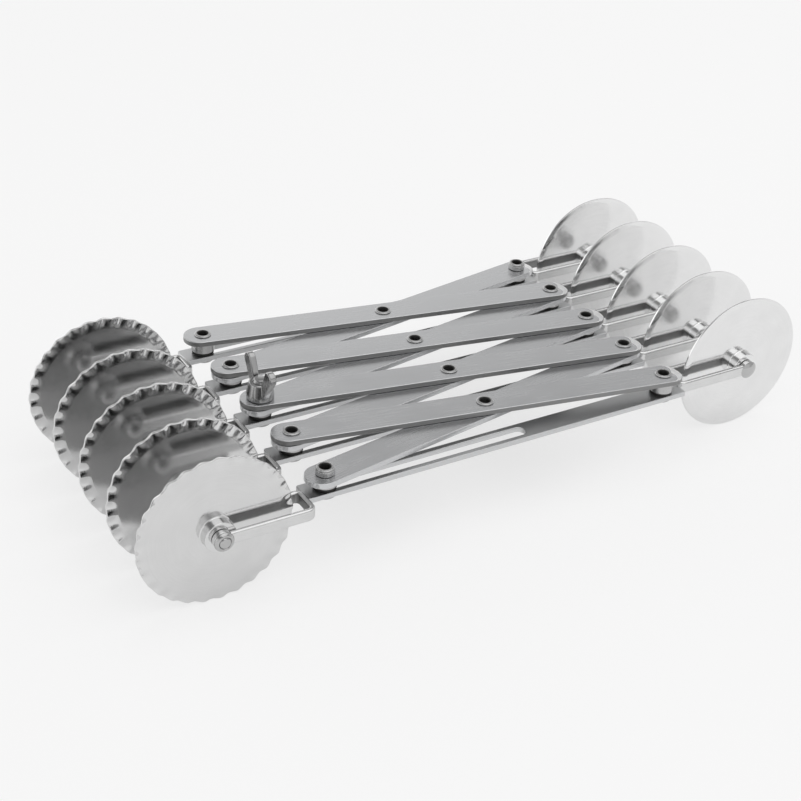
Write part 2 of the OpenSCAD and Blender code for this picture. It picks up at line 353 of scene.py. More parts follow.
def close_faces(bm, levels):
    """Fills the flat faces of a plate between its walls."""
    for height in levels:
        border = [
            edge
            for edge in bm.edges
            if len(edge.link_faces) == 1
            and all(abs(vert.co.z - height) < SAME_LEVEL for vert in edge.verts)
        ]
        bmesh.ops.triangle_fill(bm, use_beauty=True, edges=border, normal=(0, 0, 1))


def moved(bm, matrix, verts=None):
    """Places what has been made so far."""
    bmesh.ops.transform(bm, matrix=matrix, verts=verts or bm.verts[:])


def finished(bm, node, materials, sharp=40):
    """Makes a piece from a bmesh, in place of a CAD node and riding on its body."""
    bmesh.ops.recalc_face_normals(bm, faces=bm.faces[:])
    mesh = bpy.data.meshes.new(f"{node}_finished")
    bm.to_mesh(mesh)
    bm.free()
    mesh.shade_smooth()
    mesh.set_sharp_from_angle(angle=math.radians(sharp))
    for material in materials:
        mesh.materials.append(material)
    piece = bpy.data.objects.new(f"{node}_finished", mesh)
    bpy.context.scene.collection.objects.link(piece)
    modifier = piece.modifiers.new("Even shading", "WEIGHTED_NORMAL")
    modifier.weight = 100
    modifier.keep_sharp = True
    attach(piece, body_of(node))
    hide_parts(node)
    return piece


# Material helpers
def new_material(name, colour):
    """Starts a material of one colour; returns it with its tree and shader."""
    material = bpy.data.materials.new(name)
    material.use_nodes = True
    tree = material.node_tree
    shader = tree.nodes["Principled BSDF"]
    shader.inputs["Base Color"].default_value = (*colour, 1)
    return material, tree, shader


def new_steel(name, colour, metallic=1):
    """Starts a steel material."""
    material, tree, shader = new_material(name, colour)
    shader.inputs["Metallic"].default_value = metallic
    return material, tree, shader


def add_node(tree, kind, values=None, **settings):
    """Adds a node with its settings; an input takes a value or another node's output."""
    node = tree.nodes.new(kind)
    for key, value in settings.items():
        setattr(node, key, value)
    for key, value in (values or {}).items():
        if isinstance(value, bpy.types.NodeSocket):
            tree.links.new(value, node.inputs[key])
        else:
            node.inputs[key].default_value = value
    return node


def mapped(tree, source, before, after):
    """Maps a value from one range onto another."""
    values = {
        "Value": source,
        "From Min": before[0],
        "From Max": before[1],
        "To Min": after[0],
        "To Max": after[1],
    }
    return add_node(tree, "ShaderNodeMapRange", values).outputs["Result"]


def spread(tree, source, low, high):
    """Maps the middle of a noise value's range onto a wider one."""
    return mapped(tree, source, (0.3, 0.7), (low, high))


def tinted(tree, source, colour, low, high):
    """Colour that varies in lightness with a noise value."""
    values = {
        "Factor": spread(tree, source, 0, 1),
        "A": (*[low * c for c in colour], 1),
        "B": (*[high * c for c in colour], 1),
    }
    return add_node(tree, "ShaderNodeMix", values, data_type="RGBA").outputs["Result"]


def raised(tree, source, distance, strength):
    """Bump from a noise value."""
    values = {"Strength": strength, "Distance": distance, "Height": source}
    return add_node(tree, "ShaderNodeBump", values).outputs["Normal"]


def mean_of(tree, first, second):
    """Mean of two noise values."""
    values = {"Factor": 0.5, "A": first, "B": second}
    return add_node(tree, "ShaderNodeMix", values, data_type="FLOAT").outputs["Result"]


def computed(tree, operation, *values):
    """Result of a math node for values or other nodes' outputs."""
    inputs = dict(enumerate(values))
    return add_node(tree, "ShaderNodeMath", inputs, operation=operation).outputs["Value"]


def noise_on(tree, coords):
    """Noise on given coordinates."""
    values = {"Vector": coords, "Scale": 1.0, "Detail": 3.0}
    return add_node(tree, "ShaderNodeTexNoise", values).outputs["Fac"]


def object_noise(tree, grain, turn=0.0):
    """Noise on Object coordinates with a grain size along each axis, turned about Z."""
    coords = add_node(tree, "ShaderNodeTexCoord").outputs["Object"]
    values = {"Vector": coords, "Rotation": (0, 0, turn), "Scale": grain}
    mapping = add_node(tree, "ShaderNodeMapping", values, vector_type="TEXTURE")
    return noise_on(tree, mapping.outputs["Vector"])


def mix_surface(tree, share, first, second, output):
    """Links a mix of two shaders to the output node."""
    mix = add_node(tree, "ShaderNodeMixShader", {"Fac": share, 1: first, 2: second})
    tree.links.new(mix.outputs["Shader"], tree.nodes[output].inputs["Surface"])


def vary(tree, shader, colour, fine, broad, roughness, tint, bump):
    """Varies a steel's roughness and lightness with two noises, and raises the fine one."""
    both = mean_of(tree, fine, broad)
    tree.links.new(spread(tree, both, *roughness), shader.inputs["Roughness"])
    tree.links.new(tinted(tree, both, colour, *tint), shader.inputs["Base Color"])
    tree.links.new(raised(tree, fine, *bump), shader.inputs["Normal"])


def satin_bar_steel(name, colour, mean, turn):
    """Steel brushed along a bar that lies turned about Z."""
    material, tree, shader = new_steel(name, colour)
    brush = object_noise(tree, (26 * MM, 0.12 * MM, 0.12 * MM), turn)
    handling = object_noise(tree, (16 * MM, 8 * MM, 8 * MM), turn)
    roughness = (mean - 0.05, mean + 0.05)
    vary(tree, shader, colour, brush, handling, roughness, (0.97, 1.025), (0.0015 * MM, 0.3))
    return material


def polished_wheel_steel(name, colour, mean):
    """Steel polished on a lathe: fine rings follow the wheel's own rim."""
    material, tree, shader = new_steel(name, colour)
    polish = add_node(tree, "ShaderNodeAttribute", attribute_name="polish")
    rings = noise_on(tree, polish.outputs["Vector"])
    smudge = object_noise(tree, (9 * MM, 9 * MM, 9 * MM))
    roughness = (mean - 0.05, mean + 0.06)
    vary(tree, shader, colour, rings, smudge, roughness, (0.95, 1.04), (0.002 * MM, 0.25))
    return material


def worked_steel(name, colour, mean, grain, depth):
    """Drawn, turned or cast steel with a fine even grain."""
    material, tree, shader = new_steel(name, colour)
    fine = object_noise(tree, grain)
    broad = object_noise(tree, (5 * MM, 5 * MM, 5 * MM))
    roughness = (mean - 0.06, mean + 0.07)
    vary(tree, shader, colour, fine, broad, roughness, (0.93, 1.05), (depth, 0.4))
    return material


def painted_shade_steel(name):
    """Near-black steel, painted as shade inside a pivot's bore and on the collar under its
    shoulder.
    """
    colour = (0.035, 0.034, 0.033)
    material, tree, shader = new_steel(name, colour, metallic=0.4)
    crust = object_noise(tree, (0.6 * MM, 0.6 * MM, 0.6 * MM))
    vary(tree, shader, colour, crust, crust, (0.5, 0.75), (0.6, 1.4), (0.01 * MM, 0.4))
    return material


# Pieces
class OBJECT_OT_lattice_bars(bpy.types.Operator):
    """Flat bars of the lazy-tong lattice"""

    bl_idname = "object.cutter_lattice_bars"
    bl_label = "Lattice bars"

    def execute(self, context):
        sizes = context.scene.cutter_sizes
        finish = context.scene.cutter_finish
        half = PIVOT_SPAN / 2
        radius = sizes.lattice_width / 2
        reach = (size_of("upper_bar_1").x / 2 - radius) / math.cos(LATTICE_TURN)
        # Dark steel for painted shade on the underside and on the upper bars' sides
        shade_paint = worked_steel(
            "painted_underside_shade", finish.shade_paint_steel, 0.42, (2 * MM, 2 * MM, 0.4 * MM), 0.006 * MM
        )
        # worn holds near-white steel, a painted highlight on the sloped tips
        worn = worked_steel(
            "painted_tip_highlight", finish.tip_highlight_steel, 0.5, (2 * MM, 2 * MM, 2 * MM), 0.002 * MM
        )
        for layer, turn in (("upper", -LATTICE_TURN), ("lower", LATTICE_TURN)):
            steel = satin_bar_steel(
                f"satin_{layer}_bar", finish.bar_steel, finish.bar_roughness, turn
            )
            for i in LINKS:
                node = f"{layer}_bar_{i}"
                low, high = box_of(node)
                levels = (low.z, high.z)
                bm = bmesh.new()
                plate_wall(bm, levels, radius, sizes.lattice_edge, 1, (reach, 0), steps=96)
                self.slope_end(bm, sizes, radius, reach, high.z)
                for place in (-half, 0, half):
                    plate_wall(bm, levels, sizes.pivot_hole, sizes.bar_edge, -1, place=place)
                close_faces(bm, levels)
                self.mark_faces(bm, low.z, reach, layer == "upper")
                turn_matrix = Matrix.Rotation(turn, 4, "Z")
                moved(bm, Matrix.Translation((0, LINK_Y[i], 0)) @ turn_matrix)
                finished(bm, node, [steel, shade_paint, worn])
        return {"FINISHED"}

    def mark_faces(self, bm, bottom, reach, shade_sides):
        """Paints shade on the underside and on an upper bar's cut sides, and paints a highlight on
        the sloped tip.
        """
        side_limit = 0.3
        slope_limits = (0.9, 0.9995)
        bm.normal_update()
        for face in bm.faces:
            middle = face.calc_center_median()
            level = abs(face.normal.z)
            if middle.z < bottom + HAIR or (shade_sides and level < side_limit):
                face.material_index = 1
            elif middle.x > reach and slope_limits[0] < level < slope_limits[1]:
                face.material_index = 2

    def slope_end(self, bm, sizes, radius, reach, top):
        """Slopes the top face down towards the tip at the plain wheels' end."""
        edge = sizes.lattice_edge
        for vert in bm.verts:
            out = Vector((vert.co.x - reach, vert.co.y))
            if out.x > 0 and top - vert.co.z < 1.1 * edge:
                share = (out.x / out.length) ** 2
                inset = radius - out.length
                vert.co.z -= share * sizes.tip_drop * (1 - inset / edge)
                inset += share * inset * (sizes.tip_slope / edge - 1)
                out = out.normalized() * (radius - inset)
                vert.co.x = reach + out.x
                vert.co.y = out.y


class OBJECT_OT_row_bars(bpy.types.Operator):
    """Slotted bars under the lattice, one for each row"""

    bl_idname = "object.cutter_row_bars"
    bl_label = "Row bars"

    def execute(self, context):
        sizes = context.scene.cutter_sizes
        finish = context.scene.cutter_finish
        steel = satin_bar_steel("satin_row_bar", finish.row_steel, finish.row_roughness, 0)
        corner = 0.6 * MM
        edge = sizes.bar_edge
        slot_half = (sizes.slot_stop - sizes.slot_start) / 2
        slot_place = (sizes.slot_stop + sizes.slot_start) / 2
        for i in ROWS:
            node = f"row_bar_{i}"
            low, high = box_of(node)
            size = high - low
            levels = (low.z, high.z)
            half = (size.x / 2 - corner, size.y / 2 - corner)
            bm = bmesh.new()
            plate_wall(bm, levels, corner, edge, 1, half, steps=32)
            plate_wall(bm, levels, sizes.slot_radius, edge, -1, (slot_half, 0), slot_place)
            plate_wall(bm, levels, sizes.neck_radius + HOLE_PLAY, edge, -1, place=END_X)
            close_faces(bm, levels)
            moved(bm, Matrix.Translation((0, ROW_Y[i], 0)))
            finished(bm, node, [steel])
        return {"FINISHED"}


def pivot_foot(sizes, low, neck_low, neck_high, shoulder_top):
    """Corners of a pivot from its foot up to the shoulder that carries the lattice."""
    collar = sizes.shoulder_radius - COLLAR_INSET
    collar_top = neck_high + sizes.collar_height
    return [
        (FOOT_RADIUS, low, FOOT_EDGE),
        (FOOT_RADIUS, neck_low, FOOT_EDGE),
        (sizes.neck_radius, neck_low, 0),
        (sizes.neck_radius, neck_high, 0),
        (collar, neck_high, 0.1 * MM),
        (collar, collar_top, 0),
        (sizes.shoulder_radius, collar_top, FOOT_EDGE),
        (sizes.shoulder_radius, shoulder_top, FOOT_EDGE),
        (sizes.tube_radius, shoulder_top, 0),
    ]


def paint_bore_shade(bm, sizes):
    """Paints shade into an open bore, up to the inside of its rolled rim, with the dark material.
    """
    lip = 0.38 * MM
    for face in bm.faces:
        if face.calc_center_median().xy.length < sizes.tube_bore + lip:
            face.material_index = 1


def paint_collar_shade(bm, sizes, low):
    """Paints shade on the collar that starts at a height under a shoulder, with the dark material.
    """
    outside = sizes.shoulder_radius - COLLAR_INSET / 2
    for face in bm.faces:
        middle = face.calc_center_median()
        if -HAIR < middle.z - low < sizes.collar_height - HAIR and middle.xy.length < outside:
            face.material_index = 1


class OBJECT_OT_pivots(bpy.types.Operator):
    """Tubular pivots and rivets of the lattice, and the two spacer bushes"""

    bl_idname = "object.cutter_pivots"
    bl_label = "Pivots"

    def execute(self, context):
        sizes = context.scene.cutter_sizes
        finish = context.scene.cutter_finish
        steel = worked_steel(
            "turned_pivot", finish.turned_steel, 0.26, (0.5 * MM, 0.5 * MM, 0.1 * MM), 0.004 * MM
        )
        materials = [steel, painted_shade_steel("painted_bore_shade")]
        for i in ROWS:
            self.post(sizes, materials, f"end_pivot_{i}", 0, i == 5)
        for i in (1, 2, 4, 5):
            self.post(sizes, materials, f"slide_pivot_{i}", PIVOT_PLAY, i == 1)
        for i in LINKS:
            self.rivet(sizes, materials, f"middle_rivet_{i}")
        for node in ("end_spacer", "slide_spacer"):
            self.spacer(sizes, materials, node)
        return {"FINISHED"}

    def post(self, sizes, materials, node, play, empty_lower):
        """Tubular post, with a longer shoulder where the lattice's lower layer is empty."""
        low, high = box_of(node)
        row_low, row_high = box_of("row_bar_1")
        bar_low = box_of("upper_bar_1" if empty_lower else "lower_bar_1")[0].z
        rim_low = high.z - sizes.rim_height
        profile = [(sizes.tube_bore, low.z, FOOT_EDGE)]
        profile += pivot_foot(
            sizes, low.z, row_low.z - play, row_high.z + play, bar_low - PIVOT_PLAY
        )
        profile += [
            (sizes.tube_radius, rim_low, 0),
            (sizes.rim_radius, rim_low, 0),
            (sizes.rim_radius, high.z, ROLLED_EDGE),
            (sizes.tube_bore, high.z, ROLLED_EDGE),
        ]
        bm = bmesh.new()
        turned(bm, profile, PIVOT_STEPS)
        paint_bore_shade(bm, sizes)
        paint_collar_shade(bm, sizes, row_high.z + play)
        self.placed(bm, node, materials)

    def rivet(self, sizes, materials, node):
        """Tubular rivet with a rolled rim at both ends."""
        low, high = box_of(node)
        rim = sizes.rim_radius
        tube = sizes.tube_radius
        profile = [
            (sizes.tube_bore, low.z, ROLLED_EDGE),
            (rim, low.z, ROLLED_EDGE),
            (rim, low.z + sizes.rim_height, 0),
            (tube, low.z + sizes.rim_height, 0),
            (tube, high.z - sizes.rim_height, 0),
            (rim, high.z - sizes.rim_height, 0),
            (rim, high.z, ROLLED_EDGE),
            (sizes.tube_bore, high.z, ROLLED_EDGE),
        ]
        bm = bmesh.new()
        turned(bm, profile, PIVOT_STEPS)
        paint_bore_shade(bm, sizes)
        self.placed(bm, node, materials)

    def spacer(self, sizes, materials, node):
        """Bush that fills an empty layer of the lattice."""
        low, high = box_of(node)
        outer = size_of(node).x / 2
        soft = 0.25 * MM
        profile = [
            (sizes.pivot_hole, low.z, soft),
            (outer, low.z, soft),
            (outer, high.z, soft),
            (sizes.pivot_hole, high.z, soft),
        ]
        bm = bmesh.new()
        turned(bm, profile, PIVOT_STEPS)
        self.placed(bm, node, materials)

    def placed(self, bm, node, materials):
        """Moves a turned shape over the middle of its node and finishes it."""
        middle = centre_of(node)
        moved(bm, Matrix.Translation((middle.x, middle.y, 0)))
        finished(bm, node, materials, 50)


def end_matrix(kind, i):
    """Place of the axle at one end of a row; the fluted end is half a turn from the plain one."""
    if kind == "plain":
        return Matrix.Translation((PLAIN_AXLE.x, ROW_Y[i], PLAIN_AXLE.z))
    place = Matrix.Translation((FLUTED_AXLE.x, ROW_Y[i], FLUTED_AXLE.z))
    return place @ Matrix.Rotation(math.pi, 4, "Z")


def along_y(offset):
    """Turns a shape made about Z so that it lies along Y."""
    return Matrix.Translation((0, offset, 0)) @ Matrix.Rotation(-math.pi / 2, 4, "X")


def prong_pitch(sizes):
    """Distance between the middles of a fork's two prongs."""
    low, high = box_of("plain_fork_1")
    return high.y - low.y - sizes.strip_thickness


class OBJECT_OT_forks(bpy.types.Operator):
    """Forks bent from flat strip, welded to the ends of the row bars"""

    bl_idname = "object.cutter_forks"
    bl_label = "Forks"

    def execute(self, context):
        sizes = context.scene.cutter_sizes
        finish = context.scene.cutter_finish
        steel = worked_steel(
            "bright_fork", finish.fork_steel, 0.2, (4 * MM, 0.3 * MM, 0.15 * MM), 0.003 * MM
        )
        # Dark steel that paints shade on the faces between the prongs
        shade_paint = worked_steel(
            "painted_fork_shade", finish.shade_paint_steel, 0.42, (2 * MM, 0.4 * MM, 0.3 * MM), 0.006 * MM
        )
        thick = sizes.strip_thickness
        pitch = prong_pitch(sizes)
        back = box_of("plain_fork_1")[0].x - PLAIN_AXLE.x
        bend = sizes.bend_radius + thick / 2
        hole = sizes.axle_radius + HOLE_PLAY
        near_eye = -(hole + sizes.eye_radius) / 2
        near = 0.45 * thick
        for i in ROWS:
            for kind in ("plain", "fluted"):
                bm = bmesh.new()
                self.bent_strip(bm, sizes, near_eye, back, bend, pitch)
                for place in (0, pitch):
                    self.eye(bm, sizes, hole, place)
                self.mark_inside(bm, near, pitch - near, back + 0.95 * thick)
                moved(bm, end_matrix(kind, i))
                finished(bm, f"{kind}_fork_{i}", [steel, shade_paint], 50)
        return {"FINISHED"}

    def mark_inside(self, bm, near, far, back):
        """Paints shade on the faces between the prongs, with the dark steel."""
        for face in bm.faces:
            middle = face.calc_center_median()
            if near < middle.y < far and middle.x > back:
                face.material_index = 1

    def bent_strip(self, bm, sizes, near_eye, back, bend, pitch):
        """Sweeps the strip's section along one prong, round the back and along the other."""
        thick = sizes.strip_thickness
        bmesh.ops.create_grid(bm, x_segments=1, y_segments=1, size=0.5)
        scale = Matrix.Diagonal((thick, sizes.strip_height, 1, 1))
        upright = Matrix.Rotation(math.pi / 2, 4, "Z") @ Matrix.Rotation(math.pi / 2, 4, "X")
        moved(bm, upright @ scale)
        bevelled(bm, bm.verts[:], sizes.strip_edge, 4, "VERTICES")
        moved(bm, Matrix.Translation((near_eye, 0, 0)))
        face = list(bm.faces)
        turn_x = back + thick / 2 + bend
        face = self.drawn(bm, face, (turn_x - near_eye, 0, 0))
        face = self.rounded(bm, face, (turn_x, bend, 0))
        face = self.drawn(bm, face, (0, pitch - 2 * bend, 0))
        face = self.rounded(bm, face, (turn_x, pitch - bend, 0))
        self.drawn(bm, face, (near_eye - turn_x, 0, 0))
        # Faces that closed the strip's ends while it grew are left inside it
        inner = [f for f in bm.faces if all(len(edge.link_faces) > 2 for edge in f.edges)]
        bmesh.ops.delete(bm, geom=inner, context="FACES_ONLY")

    def drawn(self, bm, faces, vec):
        """Extends the strip straight on."""
        made = bmesh.ops.extrude_face_region(bm, geom=faces)["geom"]
        bmesh.ops.translate(bm, verts=picked(made, bmesh.types.BMVert), vec=vec)
        return picked(made, bmesh.types.BMFace)

    def rounded(self, bm, faces, centre):
        """Bends the strip by a quarter turn."""
        parts = faces + [e for f in faces for e in f.edges] + [v for f in faces for v in f.verts]
        made = bmesh.ops.spin(
            bm, geom=parts, cent=centre, axis=(0, 0, 1), angle=-math.pi / 2, steps=8
        )
        return picked(made["geom_last"], bmesh.types.BMFace)

    def eye(self, bm, sizes, hole, place):
        """Flattened eye round the axle."""
        half = sizes.strip_thickness / 2
        soft = 0.3 * MM
        profile = [
            (hole, -half, 0),
            (sizes.eye_radius, -half, soft),
            (sizes.eye_radius, half, soft),
            (hole, half, 0),
        ]
        moved(bm, along_y(place), turned(bm, profile, RING_STEPS))


class OBJECT_OT_axles(bpy.types.Operator):
    """Axle screws with domed heads, and their low round nuts"""

    bl_idname = "object.cutter_axles"
    bl_label = "Axles"

    def execute(self, context):
        sizes = context.scene.cutter_sizes
        finish = context.scene.cutter_finish
        steel = worked_steel(
            "turned_axle", finish.turned_steel, 0.18, (0.4 * MM, 0.4 * MM, 0.4 * MM), 0.004 * MM
        )
        near = -sizes.strip_thickness / 2
        far = prong_pitch(sizes) + sizes.strip_thickness / 2
        reach = size_of("plain_fork_1").y + sizes.nut_height + sizes.screw_tip
        for i in ROWS:
            bm = bmesh.new()
            for kind in ("plain", "fluted"):
                verts = self.screw(bm, sizes, reach)
                moved(bm, end_matrix(kind, i) @ along_y(near), verts)
            finished(bm, f"axle_screws_{i}", [steel], 35)
            bm = bmesh.new()
            for kind in ("plain", "fluted"):
                verts = self.nut(bm, sizes)
                moved(bm, end_matrix(kind, i) @ along_y(far), verts)
            finished(bm, f"axle_nuts_{i}", [steel], 35)
        return {"FINISHED"}

    def screw(self, bm, sizes, reach):
        """Low domed head, shank and chamfered end."""
        head = sizes.head_radius
        high = sizes.head_height
        dome = (head * head + high * high) / (2 * high)
        centre = dome - high
        span = math.asin(head / dome)
        dome_steps = 8
        profile = [(0, -high, 0)]
        for step in range(1, dome_steps + 1):
            angle = span * step / dome_steps
            profile.append((dome * math.sin(angle), centre - dome * math.cos(angle), 0))
        chamfer = 0.35 * MM
        profile += [
            (sizes.axle_radius, 0, 0),
            (sizes.axle_radius, reach - chamfer, 0.1 * MM),
            (sizes.axle_radius - chamfer, reach, 0.1 * MM),
            (0, reach, 0),
        ]
        return turned(bm, profile, PIVOT_STEPS, closed=False)

    def nut(self, bm, sizes):
        """Low round nut, domed towards a countersink round the screw's end."""
        hole = sizes.axle_radius + HOLE_PLAY
        rim = sizes.nut_radius
        top = sizes.nut_height
        dome = 0.7 * MM
        sink = 0.25 * MM
        soft = 0.3 * MM
        profile = [
            (hole, 0, 0),
            (rim, 0, 0.1 * MM),
            (rim, top * 0.45, soft),
            (rim - dome, top, soft),
            (hole + sink, top, 0.08 * MM),
            (hole, top - 0.3 * MM, 0),
        ]
        return turned(bm, profile, RING_STEPS)


def polish_rings(bm):
    """Gives a wheel its own coordinates for the rings that polishing leaves."""
    layer = bm.verts.layers.float_vector.new("polish")
    streak = 1.6
    ring_width = 0.22 * MM
    for vert in bm.verts:
        radius = math.hypot(vert.co.x, vert.co.y)
        angle = math.atan2(vert.co.y, vert.co.x)
        across = (streak * math.cos(angle), streak * math.sin(angle))
        vert[layer] = Vector((*across, radius / ring_width))


def wheel_profile(sizes, rim_corners, hub):
    """Profile of a wheel, alike on both sides, from the corners between its edge and its web."""
    soft = 0.25 * MM
    hole = sizes.axle_radius + HOLE_PLAY
    upper = rim_corners + [
        (sizes.hub_radius, sizes.web_thickness / 2, 0.5 * MM),
        (sizes.hub_radius, hub, soft),
        (hole, hub, soft),
    ]
    lower = [(r, -z, rounding) for r, z, rounding in reversed(upper)]
    return lower + upper


class OBJECT_OT_plain_wheels(bpy.types.Operator):
    """Plain wheels with a ground bevel at the rim"""

    bl_idname = "object.cutter_plain_wheels"
    bl_label = "Plain wheels"

    def execute(self, context):
        sizes = context.scene.cutter_sizes
        finish = context.scene.cutter_finish
        steel = polished_wheel_steel("polished_plain", finish.plain_steel, finish.wheel_roughness)
        size = size_of("plain_wheel_1")
        rim = size.x / 2
        bevel = [
            (rim, sizes.edge_thickness / 2, 0.15 * MM),
            (rim - sizes.bevel_width, sizes.web_thickness / 2, 0.6 * MM),
        ]
        profile = wheel_profile(sizes, bevel, size.y / 2)
        rim_steps = 192
        for i in ROWS:
            bm = bmesh.new()
            turned(bm, profile, rim_steps)
            polish_rings(bm)
            offset = centre_of(f"plain_wheel_{i}").y - ROW_Y[i]
            moved(bm, end_matrix("plain", i) @ along_y(offset))
            finished(bm, f"plain_wheel_{i}", [steel])
        return {"FINISHED"}


class OBJECT_OT_fluted_wheels(bpy.types.Operator):
    """Fluted wheels, pressed into waves round the rim"""

    bl_idname = "object.cutter_fluted_wheels"
    bl_label = "Fluted wheels"

    def execute(self, context):
        sizes = context.scene.cutter_sizes
        finish = context.scene.cutter_finish
        steel = polished_wheel_steel("polished_fluted", finish.fluted_steel, finish.wheel_roughness)
        # ground holds the darker steel that paints shade on the wheels' back faces
        ground = polished_wheel_steel("painted_fluted_back_shade", finish.back_shade_steel, finish.wheel_roughness)
        size = size_of("fluted_wheel_1")
        start = size.x / 2 - sizes.flute_length
        profile = wheel_profile(sizes, self.flute_corners(sizes, start), size.y / 2)
        flute_steps = 16
        back_limit = -0.3
        for i in ROWS:
            bm = bmesh.new()
            turned(bm, profile, sizes.flute_count * flute_steps)
            polish_rings(bm)
            self.press_flutes(bm, sizes, start)
            bmesh.ops.recalc_face_normals(bm, faces=bm.faces[:])
            # Faces on the wheel's back get the darker steel as painted shade
            for face in bm.faces:
                if face.normal.z < back_limit:
                    face.material_index = 1
            offset = ROW_Y[i] - centre_of(f"fluted_wheel_{i}").y
            moved(bm, end_matrix("fluted", i) @ along_y(offset))
            finished(bm, f"fluted_wheel_{i}", [steel, ground], 80)
        return {"FINISHED"}

    def flute_corners(self, sizes, start):
        """Corners of the rim: a thin rounded edge, then close rings that the flutes can bend."""
        web = sizes.web_thickness / 2
        edge = sizes.edge_thickness / 2
        rim = start + sizes.flute_length
        rings = 12
        corners = [(rim, edge * 0.55, 0), (rim - 0.12 * MM, edge, 0)]
        for ring in range(1, rings + 1):
            share = 1 - ring / rings
            corners.append((start + share * sizes.flute_length, web + (edge - web) * share, 0))
        return corners

    def press_flutes(self, bm, sizes, start):
        """Presses waves into the rim that rise gradually from the web."""
        for vert in bm.verts:
            radius = math.hypot(vert.co.x, vert.co.y)
            share = max(0.0, (radius - start) / sizes.flute_length)
            rise = share * share * (2 - share)
            wave = math.sin(sizes.flute_count * math.atan2(vert.co.y, vert.co.x))
            vert.co.z += sizes.flute_depth * rise * wave


class OBJECT_OT_lock(bpy.types.Operator):
    """Threaded stud of the middle row and its cast wing nut"""

    bl_idname = "object.cutter_lock"
    bl_label = "Wing nut and stud"

    def execute(self, context):
        sizes = context.scene.cutter_sizes
        finish = context.scene.cutter_finish
        steel = worked_steel(
            "tumbled_lock", finish.lock_steel, 0.17, (0.5 * MM, 0.5 * MM, 0.5 * MM), 0.003 * MM
        )
        self.stud(sizes, steel)
        self.wing_nut(sizes, steel)
        return {"FINISHED"}

    def stud(self, sizes, steel):
        """Foot, neck and shoulder as on the other pivots, then a threaded shank."""
        low, high = box_of("lock_stud")
        row_low, row_high = box_of("row_bar_3")
        neck_high = row_high.z + PIVOT_PLAY
        shoulder_top = box_of("lower_bar_3")[0].z - PIVOT_PLAY
        nut_low = box_of("wing_nut")[0].z
        pitch = 0.8 * MM
        thread_depth = 0.42 * MM
        root = sizes.tube_radius - thread_depth
        profile = [(0, low.z, 0)]
        profile += pivot_foot(sizes, low.z, row_low.z - PIVOT_PLAY, neck_high, shoulder_top)
        profile.append((sizes.tube_radius, nut_low, 0))
        for turn in range(int((high.z - nut_low) / pitch)):
            base = nut_low + turn * pitch
            profile.append((root, base + 0.4 * pitch, 0.06 * MM))
            profile.append((sizes.tube_radius, base + 0.9 * pitch, 0.05 * MM))
        profile += [(root, high.z, 0.2 * MM), (0, high.z, 0)]
        bm = bmesh.new()
        turned(bm, profile, PIVOT_STEPS, closed=False)
        paint_collar_shade(bm, sizes, neck_high)
        moved(bm, Matrix.Translation((SLIDE_X, ROW_Y[LOCK_ROW], 0)))
        finished(bm, "lock_stud", [steel, painted_shade_steel("painted_collar_shade")], 35)

    def wing_nut(self, sizes, steel):
        """Conical boss on a plain band, with two wings that rise across the rows."""
        low, high = box_of("wing_nut")
        reach = (high.y - low.y) / 2
        rise = high.z - low.z
        band = 1.8 * MM
        hole = sizes.pivot_hole
        soft = 0.35 * MM
        profile = [
            (hole, 0, 0.3 * MM),
            (sizes.boss_radius, 0, soft),
            (sizes.boss_radius, band, soft),
            (sizes.boss_top_radius, sizes.boss_height, 0.5 * MM),
            (hole, sizes.boss_height, 0.4 * MM),
        ]
        bm = bmesh.new()
        turned(bm, profile, RING_STEPS)
        for side in (-1, 1):
            self.wing(bm, sizes, side, reach, rise, band)
        moved(bm, Matrix.Translation((SLIDE_X, ROW_Y[LOCK_ROW], low.z)))
        finished(bm, "wing_nut", [steel], 50)

    def wing(self, bm, sizes, side, reach, rise, band):
        """One wing: an outline with a round tip, given thickness and soft edges."""
        before = set(bm.verts)
        tip = sizes.wing_tip
        root = sizes.boss_radius * 0.62
        half = sizes.wing_thickness / 2
        tip_rounding = 0.99 * tip
        middle = Vector((reach - tip, rise - tip))
        out = Vector((math.cos(sizes.wing_lean), -math.sin(sizes.wing_lean))) * tip
        along = Vector((-out.y, out.x))
        corners = [
            (root, band, 0),
            (sizes.boss_radius, band, 0.3 * MM),
            (*(middle + out), 0),
            (*(middle + out + along), tip_rounding),
            (*(middle - out + along), tip_rounding),
            (*(middle - out), 0),
            (root, sizes.boss_height - 0.2 * MM, 0),
        ]
        verts = [bm.verts.new((-half, side * y, z)) for y, z, rounding in corners]
        for first, second in zip(verts, verts[1:] + verts[:1]):
            bm.edges.new((first, second))
        soften(bm, [(vert, corner[2]) for vert, corner in zip(verts, corners)])
        wire = [vert for vert in bm.verts if vert not in before]
        border = list({edge for vert in wire for edge in vert.link_edges})
        face = bmesh.ops.contextual_create(bm, geom=border)["faces"]
        made = bmesh.ops.extrude_face_region(bm, geom=face)["geom"]
        bmesh.ops.translate(bm, verts=picked(made, bmesh.types.BMVert), vec=(2 * half, 0, 0))
        wing = [vert for vert in bm.verts if vert not in before]
        rims = {
            edge
            for vert in wing
            for edge in vert.link_edges
            if abs(edge.verts[0].co.x - edge.verts[1].co.x) < SAME_POINT
        }
        bevelled(bm, list(rims), 0.55 * MM, 4, "EDGES")


